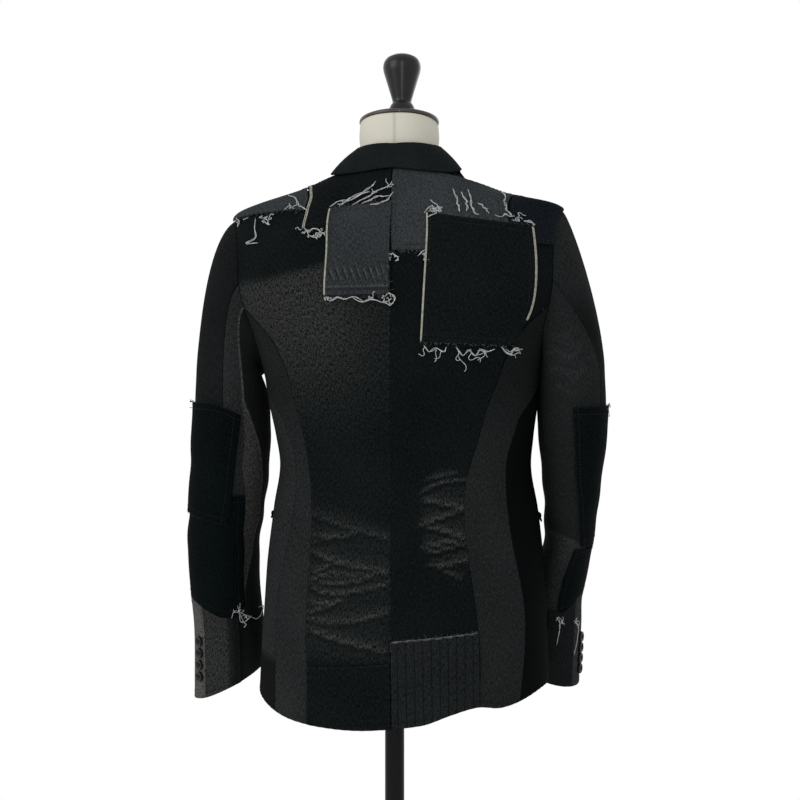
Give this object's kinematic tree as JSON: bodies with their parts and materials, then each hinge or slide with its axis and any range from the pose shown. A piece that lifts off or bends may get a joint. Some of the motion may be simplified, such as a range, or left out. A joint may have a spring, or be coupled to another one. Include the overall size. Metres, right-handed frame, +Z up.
{
  "type": "patchwork denim jacket on a dress form and stand",
  "caption": "Tailored jacket pieced from black and grey denim with raw-edged patches, on a headless, limbless dress form with a pole and round base.",
  "frame": {"origin": "centre of the base's underside, on the pole's axis", "axes": "+Z up; the jacket's front faces -Y and its back +Y; the wearer's left is +X"},
  "size_m": [0.5594, 0.344, 1.5935],
  "materials": {
    "black_denim": "matte, dense over-dyed twill with a raised grain",
    "charcoal_denim": "matte, worn charcoal twill",
    "grey_denim": "matte, washed grey twill with darker threads showing",
    "faded_denim": "matte, salt-and-pepper fades with vertical slubs",
    "navy_denim": "matte, blue-black twill",
    "pinstripe_denim": "matte, grey ground with narrow dark stripes",
    "collar_wool": "matte felted wool",
    "button": "semi-gloss black, four-hole",
    "form_linen": "cream linen drawn tight over the form",
    "cap_wood": "dark satin varnish",
    "finial_lacquer": "high-gloss black lacquer",
    "stand_iron": "black satin paint"
  },
  "bodies": {
    "root": {"back_left": "faded_denim", "side_left": "grey_denim", "front_left": "grey_denim", "back_right": "black_denim", "side_right": "grey_denim", "front_right": "black_denim", "shoulder_patch_left": "grey_denim", "yoke_patch_left": "black_denim", "centre_patch_left": "grey_denim", "yoke_patch_right": "grey_denim", "shoulder_patch_right": "navy_denim", "big_patch_right": "black_denim", "hem_block_left": "black_denim", "hem_block_right": "pinstripe_denim", "pocket_welt_left": "black_denim", "pocket_welt_right": "black_denim", "collar_fall": "collar_wool", "collar_stand": "collar_wool", "lapel_left": "black_denim", "lapel_right": "black_denim", "sleeve_upper_left": "charcoal_denim", "sleeve_under_left": "grey_denim", "sleeve_upper_right": "charcoal_denim", "sleeve_under_right": "grey_denim", "elbow_patch_left": "black_denim", "lower_block_left": "black_denim", "vent_strip_left": "grey_denim", "cuff_block_left": "faded_denim", "elbow_patch_right": "black_denim", "lower_block_right": "black_denim", "vent_strip_right": "grey_denim", "cuff_block_right": "charcoal_denim", "cuff_button_left_1": "button", "cuff_button_left_2": "button", "cuff_button_left_3": "button", "cuff_button_left_4": "button", "cuff_button_right_1": "button", "cuff_button_right_2": "button", "cuff_button_right_3": "button", "cuff_button_right_4": "button", "front_button_1": "button", "front_button_2": "button", "form_torso": "form_linen", "neck_cap": "cap_wood", "finial": "finial_lacquer", "pole_flange": "stand_iron", "pole": "stand_iron", "base": "stand_iron"}
  },
  "joints": []
}
